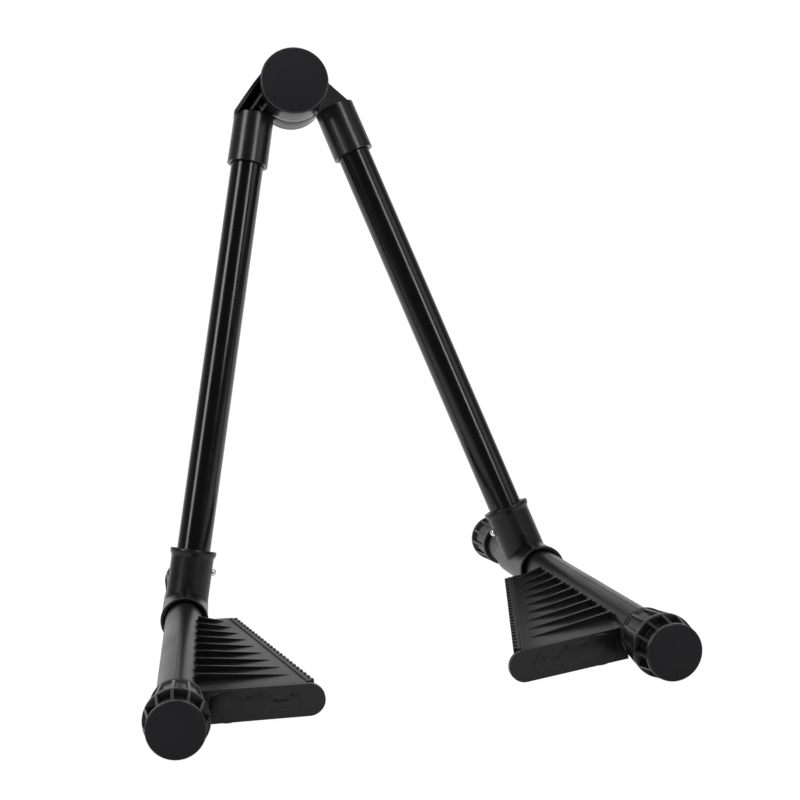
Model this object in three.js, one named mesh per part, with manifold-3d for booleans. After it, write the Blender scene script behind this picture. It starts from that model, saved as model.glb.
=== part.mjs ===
import * as THREE from 'three';
import { mergeVertices, toCreasedNormals } from 'three/addons/utils/BufferGeometryUtils.js';
import Module from 'manifold-3d';

const wasm = await Module();
wasm.setup();

// Stance: angles in degrees, lengths in millimetres
const leanAngle = 12.5;
const halfSpreadAngle = 15.25;
const wingDroopAngle = 3.8;
const legLength = 307.8;
const legOffset = 19.85;

// Clearances
const fitGap = 0.3;
const runGap = 0.4;
const edgeBreak = 0.6;
const overrun = 1;

// Leg tubes
const tubeRadius = 9.5;
const tubeWall = 1.2;

// Hinge hubs, measured along the hinge axis from the leg plane towards the front
const hubRadius = 19.8;
const splitPlace = 4.5;
const frontHubLength = 13.3;
const rearHubLength = 14;
const frontCapThickness = 3.7;
const rearCapThickness = 3.5;
const rearCapStep = 1;
const counterRadius = 9;
const counterDepth = 6.5;
const capPlugDepth = 3.4;
const capPlugWall = 1.3;

// Hinge bolt, nut and washers
const boltRadius = 3;
const boltHeadRadius = 5.6;
const boltHeadHeight = 2.9;
const nutRadius = 5.8;
const nutHeight = 3.4;
const washerRadius = 6.9;
const washerThickness = 1.2;
const frictionWasherRadius = 12;
const frictionWasherThickness = 1.6;

// Upper sockets and their gussets
const socketRadius = 11.9;
const socketTop = 17;
const socketBottom = 48.2;
const socketRoof = 2;
const socketDraft = 0.2;
const gussetHalfWidth = 9;
const gussetWeb = 2.6;
const gussetFlange = 2;
const gussetInset = 1.5;
const gussetRib = 1.4;
const gussetRibShares = [0.24, 0.5];
const gussetSlantShare = 0.33;

// Foot connectors
const connectorRise = 33.8;
const rimHeight = 5;
const rimRadius = 13.1;
const connectorRadius = 12;
const tubeStop = 14.3;
const collarRadius = 12.7;
const collarFront = 24;
const collarRear = 21;
const collarMouthRadius = 11.5;
const collarFrontMouth = 8;
const collarRearMouth = 6;
const collarBead = 0.4;
const collarBeadWidth = 2.4;
const connectorRibThickness = 1.7;
const connectorRibTop = 18.8;

// Snap buttons and their leaf springs
const buttonAboveFoot = 22.3;
const buttonRadius = 2;
const buttonProud = 2.5;
const buttonFlangeRadius = 3.3;
const buttonFlangeThickness = 0.9;
const buttonDomeShare = 0.9;
const buttonDomeShares = [0, 0.35, 0.7];
const springStrip = 0.5;
const springWidth = 5;
const springRise = 24;
const springTail = 5;
const springSideGap = 0.6;

// Feet: core tubes, turning tubes and sleeves
const coreRadius = 8;
const coreWall = 1.2;
const footTubeRadius = 10.4;
const footTubeEnd = 156;
const rearSleeveEnd = 42.4;
const mouthPlay = 1;

// Ribbed end caps, measured from the end of the foot tube
const capLength = 34;
const capMouthGap = 1.5;
const capMouthRadius = 12.6;
const capMouthLength = 3;
const capPocketRadius = 11.9;
const capRimPlace = 22;
const capRimWidth = 1.4;
const capRimRadius = 15;
const capCoreRadius = 11.2;
const capDiscRadius = 13.2;
const capDiscThickness = 2.5;
const rearCapLength = 25.4;
const rearCapRimRadius = 13.8;
const rearCapEndRadius = 12.8;
const capFinCount = 12;
const capFinThickness = 1.7;
const capFinInset = 0.35;

// Wings: the shelf that a guitar rests on
const wingTop = 5.04;
const wingRear = 40.5;
const wingRearWidth = 27.4;
const wingFrontWidth = 59.7;
const wingPlateThickness = 2.5;
const wingPlateTip = 59;
const wingTipRadius = 7.6;
const wingPlateRootDepth = 11;
const wingSkin = 2.4;
const wingSkirtDepth = 11;
const wingSkirtWall = 1.8;
const wingRootInset = 5;
const wingUnderRibCount = 3;
const wingUnderRibThickness = 1.4;
const wingUnderRibDepth = 5.5;
const finCount = 9;
const finFirst = 46;
const finLast = 140.8;
const finThickness = 1.4;
const finHeight = 3.5;
const finStart = 8;
const finFade = 1.6;
const finTailShare = 0.05;

// Rubber comb strips
const padWidth = 2.3;
const padOverhang = 1.1;
const padHeight = 3.8;
const padProud = 0.35;
const padToothCount = 34;
const padToothDepth = 1.8;
const padToothShare = 0.55;

// Segments round the turned shapes
const hubSegments = 32;
const socketSegments = 24;
const capSegments = 24;
const smallSegments = 12;
const tipSteps = 8;
const hexSides = 6;
const creaseAngle = THREE.MathUtils.degToRad(28);

const lean = THREE.MathUtils.degToRad(leanAngle);
const halfSpread = THREE.MathUtils.degToRad(halfSpreadAngle);
const droop = THREE.MathUtils.degToRad(wingDroopAngle);
const footPitch = Math.atan(Math.tan(lean) / Math.cos(halfSpread));
const footRoll = Math.atan(
  (Math.sin(halfSpread) * Math.cos(lean)) /
    (Math.sin(footPitch) * Math.sin(lean) + Math.cos(footPitch) * Math.cos(halfSpread) * Math.cos(lean)),
);

// Finishes
const finishes = {
  tube: { color: 0x0b0b0d, roughness: 0.18, metalness: 0.4 },
  plastic: { color: 0x141416, roughness: 0.42, metalness: 0 },
  disc: { color: 0x1c1c1f, roughness: 0.7, metalness: 0 },
  rubber: { color: 0x101010, roughness: 0.9, metalness: 0 },
  steel: { color: 0x9a9c9f, roughness: 0.35, metalness: 0.9 },
  chrome: { color: 0xd8dadc, roughness: 0.12, metalness: 1 },
  washer: { color: 0xd9d6cc, roughness: 0.6, metalness: 0 },
};

// Turn a closed geometry into a solid, facing outwards
function solid(geometry) {
  const bare = new THREE.BufferGeometry();
  const flat = geometry.index ? geometry.toNonIndexed() : geometry;
  bare.setAttribute('position', flat.getAttribute('position').clone());
  const merged = mergeVertices(bare, 1e-5);
  const place = merged.getAttribute('position');
  const index = merged.index.array;
  const triangles = [];
  const a = new THREE.Vector3();
  const b = new THREE.Vector3();
  const c = new THREE.Vector3();
  let volume = 0;
  for (let i = 0; i < index.length; i += 3) {
    const [p, q, r] = [index[i], index[i + 1], index[i + 2]];
    if (p === q || q === r || r === p) continue;
    triangles.push(p, q, r);
    a.fromBufferAttribute(place, p);
    b.fromBufferAttribute(place, q);
    c.fromBufferAttribute(place, r);
    volume += a.dot(b.cross(c));
  }
  if (volume < 0) triangles.reverse();
  return new wasm.Manifold(
    new wasm.Mesh({
      numProp: 3,
      vertProperties: new Float32Array(place.array),
      triVerts: new Uint32Array(triangles),
    }),
  );
}

function join(...pieces) {
  return pieces.reduce((whole, piece) => whole.add(piece));
}

function cut(whole, ...cutters) {
  return cutters.reduce((left, cutter) => left.subtract(cutter), whole);
}

// Read a solid back as a geometry with crisp edges, mirrored across x when asked
function surface(body, mirrored) {
  const mesh = body.getMesh();
  const geometry = new THREE.BufferGeometry();
  const places = new Float32Array((mesh.vertProperties.length / mesh.numProp) * 3);
  for (let i = 0; i < places.length / 3; i += 1) {
    places[i * 3] = mesh.vertProperties[i * mesh.numProp] * (mirrored ? -1 : 1);
    places[i * 3 + 1] = mesh.vertProperties[i * mesh.numProp + 1];
    places[i * 3 + 2] = mesh.vertProperties[i * mesh.numProp + 2];
  }
  const index = Array.from(mesh.triVerts);
  if (mirrored) index.reverse();
  geometry.setAttribute('position', new THREE.BufferAttribute(places, 3));
  geometry.setIndex(index);
  return toCreasedNormals(geometry, creaseAngle);
}

function named(name, body, finish, mirrored = false) {
  const mesh = new THREE.Mesh(surface(body, mirrored), new THREE.MeshStandardMaterial(finishes[finish]));
  mesh.name = name;
  return mesh;
}

// Turned shape about Y: each profile point is a radius and a place along the axis
function turned(profile, segments) {
  const points = profile.map(([radius, place]) => new THREE.Vector2(radius, place));
  points.push(points[0].clone());
  return new THREE.LatheGeometry(points, segments);
}

// The same about Z, for what follows a leg tube
function turnedUpright(profile, segments) {
  return turned(profile, segments).rotateX(Math.PI / 2);
}

function ring(inner, outer, from, to, segments) {
  return turned([[inner, from], [outer, from], [outer, to], [inner, to]], segments);
}

function rod(radius, from, to, segments) {
  return turned([[0, from], [radius, from], [radius, to], [0, to]], segments);
}

// Flat outline pushed along Z between two places
function prism(outline, from, to) {
  const shape = new THREE.Shape(outline.map(([x, y]) => new THREE.Vector2(x, y)));
  const geometry = new THREE.ExtrudeGeometry(shape, { depth: to - from, bevelEnabled: false });
  return geometry.translate(0, 0, from);
}

// An outline of x and z, pushed along Y between two places
function prismAlongY(outline, from, to) {
  return prism(outline, -to, -from).rotateX(Math.PI / 2);
}

// An outline of y and z, pushed along X between two places
function prismAlongX(outline, from, to) {
  return prism(outline, from, to).rotateX(Math.PI / 2).rotateZ(Math.PI / 2);
}

function block(x0, x1, y0, y1, z0, z1) {
  const box = new THREE.BoxGeometry(x1 - x0, y1 - y0, z1 - z0);
  return box.translate((x0 + x1) / 2, (y0 + y1) / 2, (z0 + z1) / 2);
}

// Places along the hinge axis; y runs rearwards, so the front is negative
const frontHub = { near: -(splitPlace + runGap / 2), far: -(splitPlace + runGap / 2 + frontHubLength) };
const rearHub = { near: -(splitPlace - runGap / 2), far: -(splitPlace - runGap / 2) + rearHubLength };
const recessDepth = (frictionWasherThickness + 2 * fitGap - runGap) / 2;
const boreRadius = boltRadius + fitGap;

// Hub half, gusset and leg socket of the left arm; the right arm is its mirror image with the rear hub
function hingeArm(hub) {
  const facing = Math.sign(hub.far - hub.near);
  const along = (distance) => hub.near + facing * distance;
  const length = Math.abs(hub.far - hub.near);
  const hubBody = solid(
    turned(
      [
        [0, along(0)],
        [hubRadius - edgeBreak, along(0)],
        [hubRadius, along(edgeBreak)],
        [hubRadius, along(length - edgeBreak)],
        [hubRadius - edgeBreak, along(length)],
        [0, along(length)],
      ],
      hubSegments,
    ),
  );

  const socket = solid(
    turnedUpright(
      [
        [0, -socketTop],
        [socketRadius - socketDraft - edgeBreak, -socketTop],
        [socketRadius - socketDraft, -socketTop - edgeBreak],
        [socketRadius, -socketBottom + edgeBreak],
        [socketRadius - edgeBreak, -socketBottom],
        [0, -socketBottom],
      ],
      socketSegments,
    ).translate(-legOffset, 0, 0),
  );

  // Gusset between the hub's outer tangent and the socket's outer shoulder
  const shoulder = new THREE.Vector2(-(legOffset + socketRadius - socketDraft), -socketTop - edgeBreak);
  const reachIn = hubRadius - gussetInset;
  const bearing = Math.atan2(shoulder.y, shoulder.x) - Math.acos(reachIn / shoulder.length());
  const touch = new THREE.Vector2(Math.cos(bearing), Math.sin(bearing)).multiplyScalar(reachIn);
  const inward = new THREE.Vector2(touch.x, touch.y).normalize().negate();
  const inner = new THREE.Vector2(-(legOffset - socketRadius + gussetFlange), -socketTop - gussetFlange);
  const outline = [
    [touch.x, touch.y],
    [shoulder.x, shoulder.y],
    [shoulder.x, -socketTop - gussetFlange * 2],
    [inner.x, -socketTop - gussetFlange * 2],
    [inner.x + gussetFlange, -socketTop],
    [0, 0],
  ];
  const front = Math.min(hub.near, hub.far) + edgeBreak;
  const lowFront = -gussetHalfWidth;
  const side = [
    [Math.min(front, lowFront), touch.y + edgeBreak],
    [Math.min(front, lowFront), -socketTop * gussetSlantShare],
    [lowFront, -socketTop - gussetFlange * 3],
    [gussetHalfWidth, -socketTop - gussetFlange * 3],
    [gussetHalfWidth, touch.y + edgeBreak],
  ];
  const reach = hubRadius * 2;
  const gussetBlock = solid(prismAlongY(outline, -reach, reach)).intersect(
    solid(prismAlongX(side, -reach * 2, reach)),
  );
  const slope = new THREE.Vector2().subVectors(shoulder, touch).normalize();
  const strip = (from, to) => {
    const corner = (depth, run) => {
      const point = touch.clone().addScaledVector(inward, depth).addScaledVector(slope, run);
      return [point.x, point.y];
    };
    return [corner(from, -reach), corner(from, reach), corner(to, reach), corner(to, -reach)];
  };
  // The bays open on the side of the arm's own hub half, and a web closes them on the other
  const webFace = -facing * (gussetHalfWidth - gussetWeb);
  const openEnd = facing * reach;
  const pockets = [];
  let bayStart = gussetFlange;
  for (const share of [...gussetRibShares, reach / hubRadius]) {
    const bayEnd = gussetFlange + hubRadius * share;
    const bay = strip(bayStart, bayEnd);
    pockets.push(solid(prismAlongY(bay, Math.min(webFace, openEnd), Math.max(webFace, openEnd))));
    bayStart = bayEnd + gussetRib;
  }
  const gusset = cut(gussetBlock, ...pockets);

  // Room for the other hub half, the bolt and the tube
  const otherHub = solid(rod(hubRadius + runGap, along(-reach), along(0), hubSegments));
  const bore = solid(rod(boreRadius, -reach, reach, smallSegments));
  const washerRecess = solid(rod(frictionWasherRadius + fitGap, along(-overrun), along(recessDepth), socketSegments));
  const counter = solid(rod(counterRadius, along(length - counterDepth), along(length + overrun), socketSegments));
  const tubeBore = solid(
    turnedUpright(
      [
        [0, -socketTop - socketRoof],
        [tubeRadius + fitGap, -socketTop - socketRoof],
        [tubeRadius + fitGap, -socketBottom + edgeBreak],
        [tubeRadius + fitGap + edgeBreak, -socketBottom - edgeBreak],
        [0, -socketBottom - edgeBreak],
      ],
      socketSegments,
    ).translate(-legOffset, 0, 0),
  );
  return cut(join(hubBody, socket, gusset), otherHub, bore, washerRecess, counter, tubeBore);
}

function hingeCap(hub, radius, thickness) {
  const facing = Math.sign(hub.far - hub.near);
  const start = hub.far + facing * fitGap;
  const at = (distance) => start + facing * distance;
  const plug = counterRadius - fitGap;
  return solid(
    turned(
      [
        [0, at(0)],
        [plug - capPlugWall, at(0)],
        [plug - capPlugWall, at(-capPlugDepth)],
        [plug, at(-capPlugDepth)],
        [plug, at(0)],
        [radius, at(0)],
        [radius, at(thickness - edgeBreak)],
        [radius - edgeBreak, at(thickness)],
        [0, at(thickness)],
      ],
      hubSegments,
    ),
  );
}

const frontSeat = frontHub.far + counterDepth;
const rearSeat = rearHub.far - counterDepth;

function hingeBolt() {
  const head = frontSeat - fitGap - washerThickness - fitGap;
  const tip = rearSeat + fitGap + washerThickness + fitGap + nutHeight + edgeBreak;
  return join(
    solid(rod(boltHeadRadius, head - boltHeadHeight, head, hexSides)),
    solid(rod(boltRadius, head - boltHeadHeight / 2, tip, smallSegments)),
  );
}

function hingeNut() {
  const start = rearSeat + fitGap + washerThickness + fitGap;
  const hole = solid(rod(boltRadius + fitGap, start - nutHeight, start + nutHeight * 2, smallSegments));
  return cut(solid(rod(nutRadius, start, start + nutHeight, hexSides)), hole);
}

function washer(from) {
  return solid(ring(boreRadius, washerRadius, from, from + washerThickness, smallSegments));
}

function frictionWasher() {
  const middle = -splitPlace;
  const half = frictionWasherThickness / 2;
  return solid(ring(boreRadius + fitGap, frictionWasherRadius, middle - half, middle + half, socketSegments));
}

// Leg tube, from inside the upper socket down to its stop in the connector
function legTube() {
  const top = -(socketTop + socketRoof + fitGap);
  const bottom = -(legLength - tubeStop);
  const tube = solid(
    turnedUpright(
      [[tubeRadius - tubeWall, top], [tubeRadius, top], [tubeRadius, bottom], [tubeRadius - tubeWall, bottom]],
      socketSegments,
    ),
  );
  return cut(tube, buttonHole());
}

function buttonHole() {
  const hole = rod(buttonRadius + fitGap, 0, connectorRadius * 2, smallSegments).rotateZ(-Math.PI / 2);
  return solid(hole.translate(0, 0, -(legLength - buttonAboveFoot)));
}

// A point of the foot's own frame, forward and upward, in the leg's y and z
function footPoint(forward, up) {
  return [
    -forward * Math.cos(footPitch) - up * Math.sin(footPitch),
    -legLength - forward * Math.sin(footPitch) + up * Math.cos(footPitch),
  ];
}

function alongFoot(geometry) {
  return geometry.rotateX(footPitch).translate(0, 0, -legLength);
}

function connector() {
  const connectorTop = legLength - connectorRise;
  const rimFoot = -connectorTop - rimHeight;
  const body = solid(
    turnedUpright(
      [
        [0, -connectorTop],
        [rimRadius - edgeBreak, -connectorTop],
        [rimRadius, -connectorTop - edgeBreak],
        [rimRadius, rimFoot + edgeBreak],
        [connectorRadius, rimFoot],
        [connectorRadius, -legLength],
        [0, -legLength],
      ],
      socketSegments,
    ),
  );
  const bead = collarRadius + collarBead;
  const collar = solid(
    alongFoot(
      turned(
        [
          [0, -collarFront],
          [bead - edgeBreak, -collarFront],
          [bead, -collarFront + edgeBreak],
          [bead, -collarFront + collarBeadWidth],
          [collarRadius, -collarFront + collarBeadWidth + collarBead],
          [collarRadius, collarRear - edgeBreak],
          [collarRadius - edgeBreak, collarRear],
          [0, collarRear],
        ],
        socketSegments,
      ),
    ),
  );
  const ribHalf = connectorRibThickness / 2;
  const ribOutline = [
    [-connectorRadius / 2, -legLength + connectorRibTop],
    [-connectorRadius, -legLength + connectorRibTop],
    footPoint(collarFront - edgeBreak, collarRadius),
    footPoint(collarFront - edgeBreak, collarRadius - edgeBreak),
    footPoint(0, collarRadius / 2 + connectorRadius / 2),
  ];
  const rib = solid(prismAlongX(ribOutline, -ribHalf, ribHalf));
  const tubeBore = solid(
    turnedUpright(
      [
        [0, -connectorTop + edgeBreak],
        [tubeRadius + fitGap + edgeBreak, -connectorTop + edgeBreak],
        [tubeRadius + fitGap, -connectorTop - edgeBreak],
        [tubeRadius + fitGap, -(legLength - tubeStop + fitGap)],
        [0, -(legLength - tubeStop + fitGap)],
      ],
      socketSegments,
    ),
  );
  const coreBore = solid(
    alongFoot(
      turned(
        [
          [0, -collarFront * 2],
          [collarMouthRadius, -collarFront * 2],
          [collarMouthRadius, -(collarFront - collarFrontMouth)],
          [coreRadius + fitGap, -(collarFront - collarFrontMouth)],
          [coreRadius + fitGap, collarRear - collarRearMouth],
          [collarMouthRadius, collarRear - collarRearMouth],
          [collarMouthRadius, collarRear * 2],
          [0, collarRear * 2],
        ],
        socketSegments,
      ),
    ),
  );
  return cut(join(body, collar, rib), tubeBore, coreBore, buttonHole());
}

// Snap button: a dome through tube and connector, with a flange inside the tube
function snapButton() {
  const flangeOut = tubeRadius - tubeWall - fitGap;
  const flangeIn = flangeOut - buttonFlangeThickness;
  const tip = connectorRadius + buttonProud;
  const dome = buttonRadius * buttonDomeShare;
  const profile = [
    [0, flangeIn],
    [buttonFlangeRadius, flangeIn],
    [buttonFlangeRadius, flangeOut],
    [buttonRadius, flangeOut],
  ];
  for (const share of buttonDomeShares) {
    const angle = (share * Math.PI) / 2;
    profile.push([buttonRadius * Math.cos(angle), tip - dome + dome * Math.sin(angle)]);
  }
  profile.push([0, tip]);
  const geometry = turned(profile, smallSegments).rotateZ(-Math.PI / 2);
  // The flange stays clear of the round wall behind it
  const room = solid(
    turnedUpright(
      [[0, -legLength], [flangeOut, -legLength], [flangeOut, 0], [0, 0]],
      socketSegments,
    ),
  );
  const whole = solid(geometry.translate(0, 0, -(legLength - buttonAboveFoot)));
  const shank = solid(rod(buttonRadius, flangeIn, tip * 2, smallSegments).rotateZ(-Math.PI / 2)
    .translate(0, 0, -(legLength - buttonAboveFoot)));
  return whole.intersect(join(room, shank));
}

// Bent leaf spring: one leg on the far wall of the tube, the other behind the button
function buttonSpring() {
  const wall = -Math.sqrt((tubeRadius - tubeWall) ** 2 - (springWidth / 2) ** 2) + springSideGap;
  const back = tubeRadius - tubeWall - fitGap * 2 - buttonFlangeThickness;
  const low = -(legLength - buttonAboveFoot) - springTail;
  const high = low + springTail + springRise;
  const bend = Math.min(springStrip * 4, (back - wall) / 3);
  const outline = [
    [wall, low],
    [wall + springStrip, low],
    [wall + springStrip, high - bend],
    [wall + bend, high - springStrip],
    [back - bend, high - springStrip],
    [back - springStrip, high - bend],
    [back - springStrip, low],
    [back, low],
    [back, high - bend + springStrip / 3],
    [back - bend + springStrip / 3, high],
    [wall + bend - springStrip / 3, high],
    [wall, high - bend + springStrip / 3],
  ];
  return solid(prismAlongY(outline, -springWidth / 2, springWidth / 2));
}

function coreTube() {
  const front = -(footTubeEnd + capLength - capDiscThickness - fitGap);
  const rear = rearSleeveEnd + rearCapLength - capDiscThickness - fitGap;
  return solid(
    turned(
      [[coreRadius - coreWall, front], [coreRadius, front], [coreRadius, rear], [coreRadius - coreWall, rear]],
      socketSegments,
    ),
  );
}

function rearSleeve() {
  const start = collarRear - collarRearMouth + mouthPlay;
  return solid(ring(coreRadius + fitGap, footTubeRadius, start, rearSleeveEnd, socketSegments));
}

// Ribbed end cap, open at the foot tube and closed at the other end; facing is the way it looks.
// The tail lists what follows the rim: radii with their distances from the end of the tube
function endCap(tubeEnd, facing, rimRadius, length, tail) {
  const at = (distance) => facing * (tubeEnd + distance);
  const floor = length - capDiscThickness;
  const bore = coreRadius + fitGap;
  const mouthEnd = capMouthGap + capMouthLength;
  const core = solid(
    turned(
      [
        [bore, at(capMouthGap)],
        [capMouthRadius, at(capMouthGap)],
        [capMouthRadius, at(mouthEnd)],
        [capPocketRadius, at(mouthEnd + edgeBreak)],
        [capPocketRadius, at(capRimPlace - capRimWidth)],
        [rimRadius, at(capRimPlace - capRimWidth / 2)],
        [rimRadius, at(capRimPlace + capRimWidth / 2)],
        ...tail.map(([radius, distance]) => [radius, at(distance)]),
        [0, at(length)],
        [0, at(floor)],
        [bore, at(floor)],
      ],
      capSegments,
    ),
  );
  const finRoot = (bore + capCoreRadius) / 2;
  const finEnd = Math.max(capRimPlace, floor + edgeBreak);
  const finEndRadius = finEnd > capRimPlace ? tail[tail.length - 1][0] - capFinInset : finRoot;
  const finOutline = [
    [finRoot, at(mouthEnd - edgeBreak)],
    [capMouthRadius - capFinInset, at(mouthEnd - edgeBreak)],
    [rimRadius - capFinInset, at(capRimPlace)],
    [finEndRadius, at(finEnd)],
    [finRoot, at(finEnd)],
  ];
  const fins = [];
  for (let i = 0; i < capFinCount; i += 1) {
    const fin = prism(finOutline, -capFinThickness / 2, capFinThickness / 2);
    fins.push(solid(fin.rotateY(Math.PI / 2 + (i * Math.PI * 2) / capFinCount)));
  }
  return join(core, ...fins);
}

// Knob at the front: a waist behind the rim, then the flat disc
function frontEndCap() {
  const discStart = capLength - capDiscThickness;
  const tail = [
    [capCoreRadius, capRimPlace + capRimWidth],
    [capCoreRadius, discStart - capRimWidth],
    [capDiscRadius, discStart],
    [capDiscRadius, capLength - edgeBreak],
    [capDiscRadius - edgeBreak, capLength],
  ];
  return endCap(footTubeEnd, -1, capRimRadius, capLength, tail);
}

// Shorter cup at the rear, closed just behind its rim
function rearEndCap() {
  return endCap(rearSleeveEnd, 1, rearCapRimRadius, rearCapLength, [[rearCapEndRadius, rearCapLength]]);
}

// Outer edge of the comb strip in plan, x for a place along the foot
const wingFront = footTubeEnd - wingPlateThickness;
const edgeRun = new THREE.Vector2(wingFrontWidth - wingRearWidth, wingFront - wingRear);
const edgeAlong = edgeRun.clone().normalize();
const edgeOut = new THREE.Vector2(edgeAlong.y, -edgeAlong.x);

// A plan point: distance along the slanted edge from its rear end, and distance inside the edge
function edgePoint(along, inside) {
  const x = wingRearWidth + edgeAlong.x * along - edgeOut.x * inside;
  const forward = wingRear + edgeAlong.y * along - edgeOut.y * inside;
  return [x, -forward];
}

function edgeX(forward, inside) {
  const share = (forward - wingRear) / edgeRun.y;
  return wingRearWidth + edgeRun.x * share - inside / edgeAlong.y;
}

function drooped(geometry) {
  return geometry.rotateY(droop);
}

function wing() {
  const tubeStart = -(collarFront - collarFrontMouth + mouthPlay);
  const tube = solid(rod(footTubeRadius, -footTubeEnd, tubeStart, socketSegments));

  // Shelf: a flat skin with a skirt and ribs below
  const plan = (inside, rear, front) => [
    [wingRootInset, -rear],
    [edgeX(rear, inside), -rear],
    [edgeX(front, inside), -front],
    [wingRootInset, -front],
  ];
  const skirtFoot = wingTop - wingSkirtDepth;
  const shelf = solid(drooped(prism(plan(0, wingRear, wingFront + edgeBreak), skirtFoot, wingTop)));
  const underside = solid(
    drooped(
      prism(
        plan(padWidth + wingSkirtWall, wingRear + wingSkirtWall, wingFront + edgeBreak * 2),
        skirtFoot * 2,
        wingTop - wingSkin,
      ),
    ),
  );
  const ledgeHollow = solid(
    drooped(
      prism(
        plan(wingSkirtWall, wingRear + wingSkirtWall, wingFront + edgeBreak * 2),
        skirtFoot * 2,
        wingTop - padHeight - wingSkin,
      ),
    ),
  );
  const ledge = solid(
    drooped(
      prism(
        [
          edgePoint(-padWidth, padWidth + fitGap),
          edgePoint(-padWidth, -padWidth),
          edgePoint(edgeRun.length() * 2, -padWidth),
          edgePoint(edgeRun.length() * 2, padWidth + fitGap),
        ],
        wingTop - padHeight - fitGap,
        wingTop * 2,
      ),
    ),
  );
  const pan = cut(shelf, underside, ledgeHollow, ledge);
  const ribs = [];
  for (let i = 1; i <= wingUnderRibCount; i += 1) {
    const forward = wingRear + (edgeRun.y * i) / (wingUnderRibCount + 1);
    const half = wingUnderRibThickness / 2;
    const end = edgeX(forward - half, padWidth + wingSkirtWall / 2);
    const low = wingTop - wingSkin - wingUnderRibDepth;
    ribs.push(solid(drooped(block(wingRootInset, end, -forward - half, -forward + half, low, wingTop - wingSkin / 2))));
  }

  // Front plate with a rounded tip
  const outline = [[0, wingTop]];
  const tipCentre = wingTop - wingTipRadius;
  for (let i = 0; i <= tipSteps; i += 1) {
    const angle = Math.PI / 2 - (Math.PI * i) / tipSteps;
    outline.push([wingPlateTip + wingTipRadius * Math.cos(angle), tipCentre + wingTipRadius * Math.sin(angle)]);
  }
  outline.push([0, -wingPlateRootDepth]);
  const plate = solid(drooped(prismAlongY(outline, -footTubeEnd, -wingFront)));

  // Fins that rise towards the tube
  const fins = [];
  for (let i = 0; i < finCount; i += 1) {
    const forward = finFirst + ((finLast - finFirst) * i) / (finCount - 1);
    const end = edgeX(forward, padWidth + finFade);
    const low = wingTop - wingSkin / 2;
    const tail = wingTop + finHeight * finTailShare;
    const fin = [[finStart, low], [end, low], [end, tail], [finStart, wingTop + finHeight]];
    fins.push(solid(drooped(prismAlongY(fin, -forward - finThickness / 2, -forward + finThickness / 2))));
  }
  const bore = solid(rod(coreRadius + fitGap, -footTubeEnd * 2, 0, socketSegments));
  return cut(join(tube, pan, ...ribs, plate, ...fins), bore);
}

// Rubber strip with comb teeth along the slanted edge
function wingPad() {
  const length = edgeRun.length();
  const rearEnd = fitGap + padWidth * edgeAlong.x;
  const frontEnd = length - fitGap - padOverhang;
  const pitch = (frontEnd - rearEnd) / padToothCount;
  const root = padToothDepth - padOverhang;
  const outline = [edgePoint(rearEnd, padWidth), edgePoint(rearEnd, root)];
  for (let i = 0; i < padToothCount; i += 1) {
    const start = rearEnd + pitch * (i + (1 - padToothShare) / 2);
    const stop = start + pitch * padToothShare;
    outline.push(edgePoint(start, root), edgePoint(start, -padOverhang));
    outline.push(edgePoint(stop, -padOverhang), edgePoint(stop, root));
  }
  outline.push(edgePoint(frontEnd, root), edgePoint(frontEnd - padWidth * edgeAlong.x, padWidth));
  return solid(drooped(prism(outline, wingTop - padHeight, wingTop + padProud)));
}

// Build one leg with everything that hangs on it
function leg(side) {
  const mirrored = side === 'right';
  const outward = mirrored ? 1 : -1;
  const group = new THREE.Group();
  group.rotation.y = -outward * halfSpread;
  group.add(named(`${side}_hinge_arm`, hingeArm(mirrored ? rearHub : frontHub), 'plastic', mirrored));

  const lower = new THREE.Group();
  lower.position.x = outward * legOffset;
  lower.add(named(`${side}_leg_tube`, legTube(), 'tube', mirrored));
  lower.add(named(`${side}_foot_connector`, connector(), 'plastic', mirrored));
  lower.add(named(`${side}_snap_button`, snapButton(), 'chrome', mirrored));
  lower.add(named(`${side}_button_spring`, buttonSpring(), 'steel', mirrored));
  group.add(lower);

  const foot = new THREE.Group();
  foot.position.z = -legLength;
  foot.rotation.x = footPitch;
  lower.add(foot);

  const level = new THREE.Group();
  level.rotation.y = outward * footRoll;
  foot.add(level);
  level.add(named(`${side}_foot_core_tube`, coreTube(), 'steel', mirrored));
  level.add(named(`${side}_rear_sleeve`, rearSleeve(), 'plastic', mirrored));
  level.add(named(`${side}_wing`, wing(), 'plastic', mirrored));
  level.add(named(`${side}_wing_pad`, wingPad(), 'rubber', mirrored));
  level.add(named(`${side}_front_end_cap`, frontEndCap(), 'disc', mirrored));
  level.add(named(`${side}_rear_end_cap`, rearEndCap(), 'disc', mirrored));
  return group;
}

// The rear rims are smaller than the front ones, so the feet slope a little down to the rear
const rimDistance = footTubeEnd + rearSleeveEnd + capRimPlace * 2;
const restSlope = Math.asin((capRimRadius - rearCapRimRadius) / rimDistance);

// Hinge hardware on the leaning hinge axis
const hinge = new THREE.Group();
hinge.rotation.x = -(lean + restSlope);
hinge.add(leg('left'), leg('right'));
hinge.add(named('hinge_front_cap', hingeCap(frontHub, hubRadius, frontCapThickness), 'disc'));
hinge.add(named('hinge_rear_cap', hingeCap(rearHub, hubRadius - rearCapStep, rearCapThickness), 'disc'));
hinge.add(named('hinge_bolt', hingeBolt(), 'steel'));
hinge.add(named('hinge_nut', hingeNut(), 'steel'));
hinge.add(named('hinge_front_washer', washer(frontSeat - fitGap - washerThickness), 'steel'));
hinge.add(named('hinge_rear_washer', washer(rearSeat + fitGap), 'steel'));
hinge.add(named('hinge_friction_washer', frictionWasher(), 'washer'));

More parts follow.
